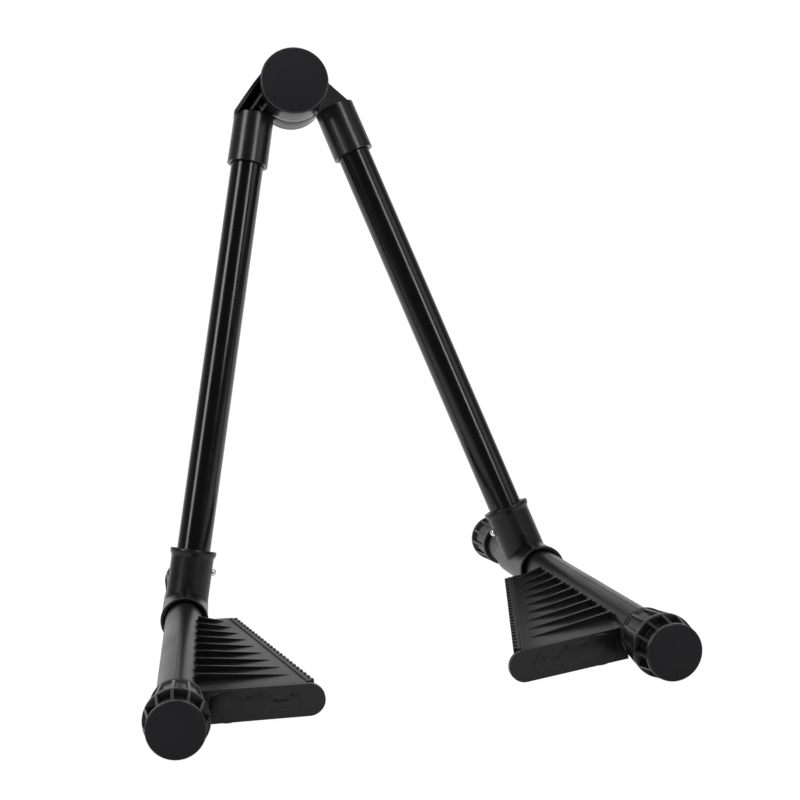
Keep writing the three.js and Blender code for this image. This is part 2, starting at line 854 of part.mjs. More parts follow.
// Stand the whole on its cap rims, centred front to back
const stand = new THREE.Group();
stand.name = 'folding_guitar_stand';
stand.add(hinge);
stand.updateMatrixWorld(true);
const box = new THREE.Box3().setFromObject(stand, true);
const middle = box.getCenter(new THREE.Vector3());
hinge.position.set(-middle.x, -middle.y, -box.min.z);
stand.updateMatrixWorld(true);

export default stand;
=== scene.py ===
import math

import bmesh
import bpy
from mathutils import Matrix, Vector


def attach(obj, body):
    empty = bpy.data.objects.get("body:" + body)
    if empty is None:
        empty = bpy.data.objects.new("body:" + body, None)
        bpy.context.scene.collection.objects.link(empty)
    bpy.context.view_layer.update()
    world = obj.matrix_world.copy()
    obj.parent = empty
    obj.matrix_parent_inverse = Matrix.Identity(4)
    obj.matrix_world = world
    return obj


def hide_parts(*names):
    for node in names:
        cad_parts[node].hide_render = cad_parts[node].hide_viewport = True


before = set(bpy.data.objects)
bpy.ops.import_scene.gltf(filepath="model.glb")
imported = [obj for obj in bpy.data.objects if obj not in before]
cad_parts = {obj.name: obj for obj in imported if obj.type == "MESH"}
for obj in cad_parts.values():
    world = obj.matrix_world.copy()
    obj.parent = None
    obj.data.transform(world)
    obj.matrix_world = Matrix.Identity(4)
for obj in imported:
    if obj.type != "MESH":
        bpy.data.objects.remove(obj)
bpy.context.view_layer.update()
MM = 0.001
TAU = 2 * math.pi
SHARP = math.radians(38)

# Stance, in millimetres and degrees, as in the part
LEAN = math.radians(12.5)
SPREAD = math.radians(15.25)
DROOP = math.radians(3.8)
REST = math.asin(1.2 / 242.4)
LEG = 307.8
OFFSET = 19.85
HINGE = Vector((0.0, 118.885446, 298.632489))
PITCH = math.atan(math.tan(LEAN) / math.cos(SPREAD))
ROLL = math.atan(
    math.sin(SPREAD) * math.cos(LEAN)
    / (math.sin(PITCH) * math.sin(LEAN) + math.cos(PITCH) * math.cos(SPREAD) * math.cos(LEAN))
)
SIDES = {"left": -1, "right": 1}
BODY = {"left": "left_leg", "right": "right_leg"}

# Radii and counts shared by several pieces
BORE, TUBE, FOOT_TUBE = 8.3, 9.5, 10.4
ROUND, FOOT_ROUND, CAP_ROUND, HUB_ROUND, DISC_ROUND = 96, 112, 120, 128, 144


def hinge_frame():
    return Matrix.Translation(HINGE) @ Matrix.Rotation(-LEAN - REST, 4, "X")


def arm_frame(side):
    return hinge_frame() @ Matrix.Rotation(-SIDES[side] * SPREAD, 4, "Y")


def leg_frame(side):
    return arm_frame(side) @ Matrix.Translation((SIDES[side] * OFFSET, 0, 0))


def foot_frame(side):
    return leg_frame(side) @ Matrix.Translation((0, 0, -LEG)) @ Matrix.Rotation(PITCH, 4, "X")


def level_frame(side):
    return foot_frame(side) @ Matrix.Rotation(SIDES[side] * ROLL, 4, "Y")


# Mesh helpers: every form is a closed mesh in millimetres, placed by a matrix
def finish_piece(bm, name, place, node, body, material, bevel=0):
    bmesh.ops.transform(bm, matrix=Matrix.Scale(MM, 4) @ place, verts=bm.verts)
    mesh = bpy.data.meshes.new(name)
    for face in bm.faces:
        face.smooth = True
    bm.to_mesh(mesh)
    bm.free()
    mesh.set_sharp_from_angle(angle=SHARP)
    mesh.materials.append(material)
    piece = bpy.data.objects.new(name, mesh)
    bpy.context.scene.collection.objects.link(piece)
    if bevel:
        edge = piece.modifiers.new("edges", "BEVEL")
        edge.width = bevel * MM
        edge.segments = 2
        edge.limit_method = "ANGLE"
        edge.angle_limit = SHARP
        edge.harden_normals = True
    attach(piece, body)
    if node:
        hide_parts(node)


def sided_piece(bm, side, name, frame_of, node, material, bevel=0, body=None):
    """A piece drawn for the left side, and mirrored for the right one."""
    if side == "right":
        bmesh.ops.scale(bm, vec=(-1, 1, 1), verts=bm.verts)
        bmesh.ops.reverse_faces(bm, faces=bm.faces)
    replaced = node and f"{side}_{node}"
    finish_piece(bm, f"{side}_{name}", frame_of(side), replaced, body or BODY[side], material, bevel)


def turn_outward(bm, first):
    """Faces from the given one on get their outside turned out."""
    bm.faces.ensure_lookup_table()
    bmesh.ops.recalc_face_normals(bm, faces=bm.faces[first:])


def turned(bm, profile, segments, place=None):
    """A closed profile of (radius, place along Y) turned about Y."""
    start = len(bm.faces)
    rings = []
    for radius, along in profile:
        if radius < 1e-6:
            rings.append([bm.verts.new((0, along, 0))])
        else:
            rings.append([
                bm.verts.new((radius * math.sin(angle), along, radius * math.cos(angle)))
                for angle in (TAU * i / segments for i in range(segments))
            ])
    new = [v for ring in rings for v in ring]
    for a, b in zip(rings, rings[1:] + rings[:1]):
        if len(a) == 1 and len(b) == 1:
            continue
        for i in range(segments):
            j = (i + 1) % segments
            if len(a) == 1:
                bm.faces.new((a[0], b[j], b[i]))
            elif len(b) == 1:
                bm.faces.new((a[i], a[j], b[0]))
            else:
                bm.faces.new((a[i], a[j], b[j], b[i]))
    if place is not None:
        bmesh.ops.transform(bm, matrix=place, verts=new)
    turn_outward(bm, start)


def prism(bm, outline, low, high, place=None):
    """A flat outline of (x, y), closed between two heights."""
    start = len(bm.faces)
    under = [bm.verts.new((x, y, low)) for x, y in outline]
    over = [bm.verts.new((x, y, high)) for x, y in outline]
    bm.faces.new(list(reversed(under)))
    bm.faces.new(over)
    count = len(outline)
    for i in range(count):
        j = (i + 1) % count
        bm.faces.new((under[i], under[j], over[j], over[i]))
    if place is not None:
        bmesh.ops.transform(bm, matrix=place, verts=under + over)
    turn_outward(bm, start)


def carved(bm, cutter):
    """What is left of one closed form when another is taken away."""
    holders = []
    for form in (bm, cutter):
        mesh = bpy.data.meshes.new("form")
        form.to_mesh(mesh)
        form.free()
        holder = bpy.data.objects.new("form", mesh)
        bpy.context.scene.collection.objects.link(holder)
        holders.append(holder)
    whole, tool = holders
    step = whole.modifiers.new("cut", "BOOLEAN")
    step.operation = "DIFFERENCE"
    step.solver = "EXACT"
    step.object = tool
    bpy.context.view_layer.update()
    result = bpy.data.meshes.new_from_object(whole.evaluated_get(bpy.context.evaluated_depsgraph_get()))
    left = bmesh.new()
    left.from_mesh(result)
    for holder in holders:
        mesh = holder.data
        bpy.data.objects.remove(holder)
        bpy.data.meshes.remove(mesh)
    bpy.data.meshes.remove(result)
    return left


def drilled(bm, radius, first, last, segments, place):
    """What is left after a round hole along Y of a placement."""
    cutter = bmesh.new()
    turned(cutter, [(0, first), (radius, first), (radius, last), (0, last)], segments, place)
    return carved(bm, cutter)


ALONG_Y = Matrix(((1, 0, 0, 0), (0, 0, -1, 0), (0, 1, 0, 0), (0, 0, 0, 1)))
ALONG_X = Matrix(((0, 0, 1, 0), (1, 0, 0, 0), (0, 1, 0, 0), (0, 0, 0, 1)))


def prism_y(bm, outline, low, high, place=None):
    """An outline of (x, z), closed between two places along Y."""
    prism(bm, outline, -high, -low, (place or Matrix.Identity(4)) @ ALONG_Y)


def prism_x(bm, outline, low, high, place=None):
    """An outline of (y, z), closed between two places along X."""
    prism(bm, outline, low, high, (place or Matrix.Identity(4)) @ ALONG_X)


UPRIGHT = Matrix.Rotation(math.pi / 2, 4, "X")


# Materials
def principled(name, colour, rough, **values):
    material = bpy.data.materials.new(name)
    material.use_nodes = True
    tree = material.node_tree
    shader = tree.nodes["Principled BSDF"]
    shader.inputs["Base Color"].default_value = (*colour, 1)
    shader.inputs["Roughness"].default_value = rough
    for key, value in values.items():
        shader.inputs[key.replace("_", " ")].default_value = value
    return material, tree, shader


def noise(tree, scale, detail=3.0, rough=0.55):
    coords = tree.nodes.new("ShaderNodeTexCoord")
    texture = tree.nodes.new("ShaderNodeTexNoise")
    texture.inputs["Scale"].default_value = scale
    texture.inputs["Detail"].default_value = detail
    texture.inputs["Roughness"].default_value = rough
    tree.links.new(coords.outputs["Object"], texture.inputs["Vector"])
    return texture


def spread(tree, source, low, high, start=0.3, end=0.7):
    ramp = tree.nodes.new("ShaderNodeMapRange")
    ramp.inputs["From Min"].default_value = start
    ramp.inputs["From Max"].default_value = end
    ramp.inputs["To Min"].default_value = low
    ramp.inputs["To Max"].default_value = high
    tree.links.new(source, ramp.inputs["Value"])
    return ramp.outputs["Result"]


def tinted(tree, source, dark, light):
    mix = tree.nodes.new("ShaderNodeMix")
    mix.data_type = "RGBA"
    mix.inputs["A"].default_value = (*dark, 1)
    mix.inputs["B"].default_value = (*light, 1)
    tree.links.new(source, mix.inputs["Factor"])
    return mix.outputs["Result"]


def bumped(tree, shader, source, strength, distance):
    bump = tree.nodes.new("ShaderNodeBump")
    bump.inputs["Strength"].default_value = strength
    bump.inputs["Distance"].default_value = distance
    tree.links.new(source, bump.inputs["Height"])
    tree.links.new(bump.outputs["Normal"], shader.inputs["Normal"])


def moulded(name, dark, light, rough, grain, strength, shine=0.5):
    material, tree, shader = principled(name, dark, rough)
    shader.inputs["Specular IOR Level"].default_value = shine
    cloud = noise(tree, 35)
    fine = noise(tree, grain, 2.0, 0.5)
    tree.links.new(tinted(tree, cloud.outputs["Fac"], dark, light), shader.inputs["Base Color"])
    tree.links.new(spread(tree, cloud.outputs["Fac"], rough - 0.04, rough + 0.05), shader.inputs["Roughness"])
    bumped(tree, shader, fine.outputs["Fac"], strength, 0.0001)
    return material


# Mouldings: name, dark and light colour, roughness, size and strength of the grain, shine
plastic = moulded(
    "satin_moulding", (0.0056, 0.0056, 0.0064), (0.0086, 0.0086, 0.0098), 0.33, 2600, 0.07, 0.37,
)
arm_plastic = moulded(
    "arm_moulding", (0.0056, 0.0056, 0.0066), (0.0090, 0.0090, 0.0102), 0.27, 2600, 0.06, 0.60,
)
cap_plastic = moulded(
    "cap_moulding", (0.0062, 0.0062, 0.0070), (0.0100, 0.0100, 0.0110), 0.32, 2600, 0.08, 0.40,
)
disc_plastic = moulded(
    "matte_disc", (0.0146, 0.0146, 0.0164), (0.0180, 0.0180, 0.0200), 0.60, 3200, 0.20, 0.14,
)
rubber = moulded(
    "strip_rubber", (0.0060, 0.0060, 0.0064), (0.0100, 0.0100, 0.0106), 0.40, 1800, 0.15, 0.55,
)
nylon = moulded("nylon", (0.62, 0.60, 0.55), (0.72, 0.70, 0.65), 0.45, 1500, 0.08)
enamel, tree, shader = principled("gloss_enamel", (0.003, 0.003, 0.0037), 0.16)
ripple = noise(tree, 90, 2.0, 0.4)
tree.links.new(spread(tree, ripple.outputs["Fac"], 0.14, 0.20), shader.inputs["Roughness"])
bumped(tree, shader, noise(tree, 300, 1.0).outputs["Fac"], 0.015, 0.0001)
chrome, tree, shader = principled("button_chrome", (0.78, 0.79, 0.80), 0.10, Metallic=1.0)
tree.links.new(spread(tree, noise(tree, 700).outputs["Fac"], 0.07, 0.14), shader.inputs["Roughness"])
steel, tree, shader = principled("plain_steel", (0.42, 0.43, 0.44), 0.32, Metallic=1.0)
tree.links.new(spread(tree, noise(tree, 260).outputs["Fac"], 0.26, 0.42), shader.inputs["Roughness"])

finish = {
    "hinge_bolt": steel, "hinge_nut": steel, "hinge_front_washer": steel, "hinge_rear_washer": steel,
    "hinge_friction_washer": nylon, "hinge_front_cap": disc_plastic, "hinge_rear_cap": disc_plastic,
}
for side in SIDES:
    finish.update({
        f"{side}_hinge_arm": arm_plastic, f"{side}_leg_tube": enamel, f"{side}_foot_connector": plastic,
        f"{side}_snap_button": chrome, f"{side}_button_spring": steel, f"{side}_foot_core_tube": enamel,
        f"{side}_rear_sleeve": plastic, f"{side}_wing": plastic, f"{side}_wing_pad": rubber,
        f"{side}_front_end_cap": cap_plastic, f"{side}_rear_end_cap": cap_plastic,
    })
for node, material in finish.items():
    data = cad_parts[node].data
    data.materials.clear()
    data.materials.append(material)


# Leg tubes, each with a hole for its button, which points inwards
BUTTON = Matrix.Translation((0, 0, -285.5)) @ Matrix.Rotation(-math.pi / 2, 4, "Z")
BUTTON_RADIUS, BUTTON_GAP, BUTTON_ROUND = 2.0, 0.3, 32
TUBE_TOP, TUBE_FOOT, TUBE_EDGE = -19.3, -293.5, 0.2


def button_hole(bm, radius):
    return drilled(bm, radius, 5, 20, BUTTON_ROUND, BUTTON)


def leg_tube(side):
    bm = bmesh.new()
    wall = [
        (BORE, TUBE_TOP), (TUBE - TUBE_EDGE, TUBE_TOP), (TUBE, TUBE_TOP - TUBE_EDGE),
        (TUBE, TUBE_FOOT + TUBE_EDGE), (TUBE - TUBE_EDGE, TUBE_FOOT), (BORE, TUBE_FOOT),
    ]
    turned(bm, wall, ROUND, UPRIGHT)
    bm = button_hole(bm, BUTTON_RADIUS + BUTTON_GAP)
    sided_piece(bm, side, "tube", leg_frame, "leg_tube", enamel)


# Hinge arms: grooved hub half, ribbed gusset and leg socket
HUB, RUN, TOUCH = 19.8, 20.2, 18.3
HUBS = {"left": (-4.7, -18.0), "right": (-4.3, 9.7)}
HUB_BORE, HUB_STEP, NUT_ROOM, NUT_DEPTH = 3.3, 12.3, 9.0, 6.5
SOCKET, SOCKET_TOP, SOCKET_END = 11.9, -18.4, -48.0
SOCKET_BORE, SOCKET_FLOOR = 9.8, -22.0
ARM_HALF, WEB, BITE = 9.0, 2.6, 0.8
GROOVES, GROOVE_HALF, GROOVE_FLAT, GROOVE_DEPTH = (0.42, 0.8), 0.18, 0.08, 0.14
STRIPS = ((0, 2.0), (6.752, 1.4), (11.9, 1.4))


def hub_profile(near, far):
    way = 1 if far > near else -1
    length = abs(far - near)

    def at(d):
        return near + way * d

    profile = [(HUB_BORE, at(0.9)), (HUB_STEP, at(0.9)), (HUB_STEP, at(0))]
    profile += [(HUB - 0.5, at(0)), (HUB - 0.15, at(0.1)), (HUB, at(0.35))]
    low = HUB - GROOVE_DEPTH
    for groove in (length * share for share in GROOVES):
        profile += [(HUB, at(groove - GROOVE_HALF)), (low, at(groove - GROOVE_FLAT))]
        profile += [(low, at(groove + GROOVE_FLAT)), (HUB, at(groove + GROOVE_HALF))]
    profile += [(HUB, at(length)), (NUT_ROOM, at(length))]
    return profile + [(NUT_ROOM, at(length - NUT_DEPTH)), (HUB_BORE, at(length - NUT_DEPTH))]


def loft(bm, sections):
    """Sections of equal point counts joined into one closed form."""
    start = len(bm.faces)
    rows = [[bm.verts.new(p) for p in section] for section in sections]
    count = len(rows[0])
    for a, b in zip(rows, rows[1:]):
        for i in range(count):
            j = (i + 1) % count
            bm.faces.new((a[i], a[j], b[j], b[i]))
    bm.faces.new(list(reversed(rows[0])))
    bm.faces.new(rows[-1])
    turn_outward(bm, start)


def hinge_arm(side):
    left = side == "left"
    near, far = HUBS[side]
    bm = bmesh.new()
    turned(bm, hub_profile(near, far), HUB_ROUND)
    shell = [(0, SOCKET_TOP)] + [(r, SOCKET_TOP) for r in (8.0, 8.8, 9.6, 10.4, 11.2, SOCKET - 0.2)]
    shell += [(SOCKET - 0.18, SOCKET_TOP - drop) for drop in (0.8, 1.6, 2.4, 3.4)]
    shell += [(SOCKET, SOCKET_END), (SOCKET_BORE, SOCKET_END), (SOCKET_BORE, SOCKET_FLOOR), (0, SOCKET_FLOOR)]
    first = len(bm.verts)
    turned(bm, shell, ROUND, Matrix.Translation((-OFFSET, 0, 0)) @ UPRIGHT)

    # The socket keeps clear of the other arm's hub half
    bm.verts.ensure_lookup_table()
    for vert in bm.verts[first:]:
        across = Vector((vert.co.x, vert.co.z))
        beyond = vert.co.y > near if far < near else vert.co.y < near
        if beyond and across.length < RUN:
            across *= RUN / across.length
            vert.co.x, vert.co.z = across

    # The gusset's outer edge runs from the shoulder of the socket to a touching point on the hub
    inset = 0.2 if left else 1.9
    shoulder = Vector((-(OFFSET + SOCKET - inset), SOCKET_TOP - 0.6))
    bearing = math.atan2(shoulder.y, shoulder.x) - math.acos(TOUCH / shoulder.length)
    touch = Vector((math.cos(bearing), math.sin(bearing))) * TOUCH
    inward = -touch.normalized()
    slope = (shoulder - touch).normalized()
    own_front, own_rear = min(near, far), max(near, far)
    front = own_front + 0.6
    lower = -6.4 if left else front
    root = RUN if left else HUB - 0.6

    def point(run, depth):
        return touch + inward * depth + slope * run

    def reach(z):
        """Where a strip begins and ends along Y at a height, narrower towards the socket."""
        high, low = SOCKET_TOP / 3, SOCKET_TOP - 6
        share = min(max((high - z) / (high - low), 0), 1)
        return front + (lower - front) * share, ARM_HALF - 4.6 * share

    def strip(depth, thick, y_from, y_to, radius):
        def first(d):
            return math.sqrt(max(radius ** 2 - (TOUCH - d) ** 2, 0))

        def last(d):
            return (SOCKET_TOP - 1.2 - touch.y - inward.y * d) / slope.y

        sections = []
        for share in (0, 0.35, 0.7, 1):
            section = []
            for d in (depth, depth + thick):
                p = point(first(d) + (last(d) - first(d)) * share, d)
                ahead, behind = reach(p.y)
                y1 = min(behind, y_to)
                y0 = min(max(ahead, y_from), y1 - 0.1)
                section.append([(p.x, y0, p.y), (p.x, y1, p.y)])
            outer, inner = section
            sections.append([outer[0], outer[1], inner[1], inner[0]])
        loft(bm, sections)

    for depth, thick in STRIPS:
        if left:
            strip(depth, thick, own_front, own_rear, HUB - BITE)
            strip(depth, thick, own_rear - 0.1, ARM_HALF, RUN)
        else:
            strip(depth, thick, front + 0.4, ARM_HALF, HUB - BITE)

    # Web between the strips, and on the left the lip where it meets the hub
    web = []
    corner = point(math.sqrt(root ** 2 - TOUCH ** 2), 0)
    start, stop = math.atan2(corner.y, corner.x) % TAU, math.atan2(SOCKET_TOP, -10.2) % TAU
    steps = 16
    for i in range(steps + 1):
        angle = start + (stop - start) * i / steps
        web.append((root * math.cos(angle), root * math.sin(angle)))
    foot = SOCKET_TOP - 1.4
    web += [(-10.6, foot), (shoulder.x + 0.6, foot), (shoulder.x + 0.3, shoulder.y)]
    face = 3.2 if left else front
    prism_y(bm, web, face, face + WEB)
    if left:
        lip = []
        for radius, way in ((HUB - 0.6, 1), (HUB + 1.6, -1)):
            for i in range(steps + 1)[::way]:
                angle = start + (stop - start) * (i + 0.3) / steps
                lip.append((radius * math.cos(angle), radius * math.sin(angle)))
        prism_y(bm, lip, -6.4, -4.9)
    sided_piece(bm, side, "arm", arm_frame, "hinge_arm", arm_plastic, 0.3)


# Foot connectors: rolled rim, socket, collar with open mouths and gusset rib
CONNECTOR, RIB_HALF, DOME_HIGH = 12.0, 0.85, 1.8
WALL = [
    (9.7, -277.5), (10.7, -274.4), (11.1, -274), (12.5, -274), (12.9, -274.2), (13.1, -274.7),
    (13.1, -275.8), (12.85, -276.7), (12.35, -277.5), (12.1, -278.2), (CONNECTOR, -279.0),
    (CONNECTOR, -307.0), (8.0, -307.0), (8.0, -293.8), (9.7, -293.8),
]
COLLAR = [
    (11.5, -24), (12.7, -24), (13.1, -23.5), (13.1, -22.1), (12.7, -21.4), (12.7, 20.4), (12.4, 21),
    (11.5, 21), (11.5, 15), (BORE, 15), (BORE, -16), (11.5, -16),
]


def connector(side):
    foot = Matrix.Translation((0, 0, -LEG)) @ Matrix.Rotation(PITCH, 4, "X")
    bm = bmesh.new()
    turned(bm, COLLAR, FOOT_ROUND, foot)

    def foot_point(forward, height):
        y = -forward * math.cos(PITCH) - height * math.sin(PITCH)
        z = -LEG - forward * math.sin(PITCH) + height * math.cos(PITCH)
        return (y, z)

    rib = [(-11.2, -292), (-12.2, -292), foot_point(23.4, 12.9), foot_point(23.4, 12.0), foot_point(12, 12.2)]
    prism_x(bm, rib, -RIB_HALF, RIB_HALF)
    sided_piece(bm, side, "collar", leg_frame, None, plastic, 0.25)

    bm = bmesh.new()
    turned(bm, WALL, ROUND, UPRIGHT)
    bm = drilled(bm, BORE, -30, 30, 64, foot)
    bm = button_hole(bm, BUTTON_RADIUS + BUTTON_GAP + 0.1)
    sided_piece(bm, side, "connector", leg_frame, "foot_connector", plastic)

    bm = bmesh.new()
    steps, base = 8, 12.7
    dome = [(0, 7.1), (3.3, 7.1), (3.3, 8.0), (BUTTON_RADIUS, 8.0)]
    for i in range(steps):
        angle = math.pi / 2 * i / steps
        dome.append((BUTTON_RADIUS * math.cos(angle), base + DOME_HIGH * math.sin(angle)))
    dome.append((0, base + DOME_HIGH))
    turned(bm, dome, 40, BUTTON)
    sided_piece(bm, side, "button_dome", leg_frame, "snap_button", chrome, 0, f"{side}_button_body")


# Ribbed end caps and rear sleeves: a waisted knob at the front, a shorter cup at the rear
FRONT_TAIL = [
    (14.6, 20.6), (15.0, 21.2), (15.0, 22.6), (14.6, 23.1), (11.2, 23.6), (11.2, 29.9), (13.0, 31.4),
    (13.2, 31.7), (13.2, 33.6), (12.85, 34.0), (0, 34.0), (0, 31.5), (BORE, 31.5),
]
REAR_TAIL = [
    (13.5, 20.6), (13.8, 21.1), (13.8, 22.6), (13.55, 23.0), (12.85, 25.0), (12.45, 25.4), (0, 25.4),
    (0, 22.9), (BORE, 22.9),
]
FRONT_FIN = [(9.5, 4.0), (12.6, 4.0), (14.97, 21.3), (14.97, 22.6), (13.15, 32.2), (9.5, 32.2)]
REAR_FIN = [(9.5, 4.0), (12.6, 4.0), (13.78, 21.3), (13.78, 22.4), (12.7, 23.2), (9.5, 23.2)]
MOUTH = [(BORE, 1.5), (12.2, 1.5), (12.6, 1.9), (12.6, 4.4), (12.3, 4.8), (11.9, 5.0), (12.1, 20.0)]
SLEEVE_END, TUBE_END = 42.4, 156
CAP_FINS, CAP_FIN_HALF = 12, 0.72
CAPS = {
    "front_end_cap": (TUBE_END, -1, 34.0, 12.6, FRONT_TAIL, FRONT_FIN),
    "rear_end_cap": (SLEEVE_END, 1, 25.4, 11.9, REAR_TAIL, REAR_FIN),
}


def end_cap(side, node):
    end, facing, length, face_radius, tail, fin = CAPS[node]

    def at(d):
        return facing * (end + d)

    bm = bmesh.new()
    turned(bm, [(radius, at(d)) for radius, d in MOUTH + tail], CAP_ROUND)
    for i in range(CAP_FINS):
        spin = Matrix.Rotation(math.pi / 2 + TAU * i / CAP_FINS, 4, "Y")
        prism(bm, [(radius, at(d)) for radius, d in fin], -CAP_FIN_HALF, CAP_FIN_HALF, spin)
    sided_piece(bm, side, f"{node}_ribbed", level_frame, node, cap_plastic, 0.22)

    bm = bmesh.new()
    face = [(0, 0.02), (face_radius, 0.02), (face_radius, 0.1), (face_radius - 0.3, 0.25), (0, 0.25)]
    turned(bm, [(radius, at(length + d)) for radius, d in face], CAP_ROUND)
    sided_piece(bm, side, f"{node}_disc", level_frame, None, disc_plastic)


def foot_tube(bm, first, last, segments):
    turned(bm, [(BORE, first), (FOOT_TUBE, first), (FOOT_TUBE, last), (BORE, last)], segments)


def rear_sleeve(side):
    bm = bmesh.new()
    foot_tube(bm, 16, SLEEVE_END, ROUND)
    sided_piece(bm, side, "sleeve", level_frame, "rear_sleeve", plastic, 0.25)


# Wings: foot tube, shelf with fins, rounded front plate with a guitar figure in relief
TOP, REAR, FRONT = 5.04, 40.5, 153.5
REAR_X, FRONT_X = 26.6, 61.5
EDGE = Vector((FRONT_X - REAR_X, FRONT - REAR))
EDGE_DIR = EDGE.normalized()
EDGE_OUT = Vector((EDGE_DIR.y, -EDGE_DIR.x))
TILT = Matrix.Rotation(DROOP, 4, "Y")
WING_BACK, PARTING_HALF = 17, 0.22
SHELF_ROOT, SHELF_THICK, SKIRT = 8.6, 2.4, TOP - 11
FIN_HALF, FIN_HIGH, FIN_SINK, FIN_COUNT, FIN_FIRST, FIN_RUN = 0.7, 3.5, 1.2, 9, 46, 94.8
PLATE_ROOT, PLATE_END, PLATE_ROUND, PLATE_LOW = 8.7, 59, 7.6, -10.9
RIB_SPACES = 4
COMB_TEETH, COMB_SHARE, COMB_OUT, COMB_IN = 25, 0.5, -1.3, 0.9

# Stepped edge that carries the rubber: outer and inner distance from the edge, low and high
EDGE_STEPS = [
    (0, 4.1, TOP - 6.2, TOP - 4.1), (2.6, 4.1, TOP - 5.0, TOP - 0.6),
    (2.6, 3.1, TOP - 1.0, TOP + 0.2), (0, 1.8, SKIRT, TOP - 4.3),
]

# Half heights of the figure along the plate
FIGURE = [
    (14.0, 0), (14.3, 3.6), (16.0, 5.9), (19.0, 7.3), (22.6, 7.6), (26.2, 6.6), (29.2, 4.8),
    (31.8, 4.1), (34.4, 4.9), (37.0, 5.8), (39.4, 5.4), (41.2, 3.9), (42.0, 2.4), (43.2, 1.95),
    (48.2, 1.8), (49.3, 2.4), (50.6, 3.8), (52.9, 4.1), (54.5, 2.6), (54.7, 0),
]


def edge_point(along, inside):
    p = Vector((REAR_X, REAR)) + EDGE_DIR * along - EDGE_OUT * inside
    return (p.x, -p.y)


def edge_x(forward, inside):
    return REAR_X + EDGE.x * (forward - REAR) / EDGE.y - inside / EDGE_DIR.y


def edge_strip(bm, outer, inner, low, high):
    """A strip along the slanted edge, between two distances inside it."""
    rear, front = REAR + 0.2, FRONT + 1
    corners = [(edge_x(rear, inner), -rear), (edge_x(rear, outer), -rear)]
    corners += [(edge_x(front, outer), -front), (edge_x(front, inner), -front)]
    prism(bm, corners, low, high, TILT)


def rear_wall(bm, end, low, high):
    corners = [(SHELF_ROOT, -REAR), (end - 0.2, -REAR), (end + 0.2, -REAR - 1.8), (SHELF_ROOT, -REAR - 1.8)]
    prism(bm, corners, low, high, TILT)


def wing(side):
    body = f"{side}_wing_body"
    bm = bmesh.new()
    foot_tube(bm, -TUBE_END, -WING_BACK, FOOT_ROUND)
    near, far, sunk, proud = -WING_BACK - 0.5, -TUBE_END + 0.5, FOOT_TUBE - 0.4, FOOT_TUBE + 0.16
    prism_x(bm, [(far, sunk), (near, sunk), (near, proud), (far, proud)], -PARTING_HALF, PARTING_HALF)

    # Shelf, its stepped edge, its rear wall, and the stop behind the rubber
    front = FRONT + 1
    shelf = [(SHELF_ROOT, -REAR), (edge_x(REAR, 2.6), -REAR)]
    shelf += [(edge_x(front, 2.6), -front), (SHELF_ROOT, -front)]
    prism(bm, shelf, TOP - SHELF_THICK, TOP, TILT)
    for outer, inner, low, high in EDGE_STEPS:
        edge_strip(bm, outer, inner, low, high)
    rear_wall(bm, REAR_X, SKIRT, TOP - 4.3)
    rear_wall(bm, REAR_X - 2.5, TOP - 5, TOP - 0.8)
    stop = [(edge_x(REAR, inside), -REAR - 0.1) for inside in (2.8, 0.1)]
    stop += [(edge_x(REAR, inside), -REAR - 0.6) for inside in (0.1, 2.8)]
    prism(bm, stop, TOP - 4.3, TOP - 0.2, TILT)

    # Ribs under the shelf
    for i in range(1, RIB_SPACES):
        forward = REAR + EDGE.y * i / RIB_SPACES
        end = edge_x(forward, 3.2)
        ahead, behind = -forward - FIN_HALF, -forward + FIN_HALF
        prism(bm, [(9, ahead), (end, ahead), (end, behind), (9, behind)], TOP - 7.9, TOP - FIN_SINK, TILT)

    # Rounded front plate
    outline = [(PLATE_ROOT, TOP)]
    steps = 32
    for i in range(steps + 1):
        angle = math.pi / 2 - math.pi * i / steps
        x = PLATE_END + PLATE_ROUND * math.cos(angle)
        outline.append((x, TOP - PLATE_ROUND + PLATE_ROUND * math.sin(angle)))
    outline.append((PLATE_ROOT, PLATE_LOW))
    prism_y(bm, outline, -TUBE_END, -FRONT, TILT)

    for i in range(FIN_COUNT):
        forward = FIN_FIRST + FIN_RUN * i / (FIN_COUNT - 1)
        end, low, high = edge_x(forward, 6.4), TOP - FIN_SINK, TOP + FIN_HIGH
        fin = [(8, low), (end, low), (end, TOP + 0.12), (8.4, high), (8, high)]
        prism_y(bm, fin, -forward - FIN_HALF, -forward + FIN_HALF, TILT)
    sided_piece(bm, side, "shelf", level_frame, "wing", plastic, 0.25, body)
    sided_piece(relief(), side, "relief", level_frame, None, plastic, 0, body)


def relief():
    """The raised figure, lying along the plate: a smooth curve through FIGURE, with a rounded edge."""
    steps = 12
    last = len(FIGURE) - 1
    upper = []
    for i in range(last):
        before, start = FIGURE[max(i - 1, 0)], FIGURE[i]
        stop, after = FIGURE[i + 1], FIGURE[min(i + 2, last)]
        for k in range(steps):
            t = k / steps
            upper.append([
                0.5 * (
                    2 * b + (c - a) * t + (2 * a - 5 * b + 4 * c - d) * t * t
                    + (3 * b - a - 3 * c + d) * t ** 3
                )
                for a, b, c, d in zip(before, start, stop, after)
            ])
    upper.append(list(FIGURE[last]))
    around = [Vector((x, max(half, 0))) for x, half in upper]
    around += [Vector((x, -max(half, 0))) for x, half in reversed(upper[1:-1])]
    count = len(around)
    sections = []
    for inset, place in ((0, -155.6), (0, -156.15), (0.2, -156.45), (0.6, -156.6)):
        section = []
        for i, p in enumerate(around):
            run = around[(i + 1) % count] - around[i - 1]
            q = p + Vector((run.y, -run.x)).normalized() * inset
            section.append((q.x, place, q.y - 3.2))
        sections.append(section)
    bm = bmesh.new()
    loft(bm, sections)
    bmesh.ops.transform(bm, matrix=TILT, verts=bm.verts)
    return bm


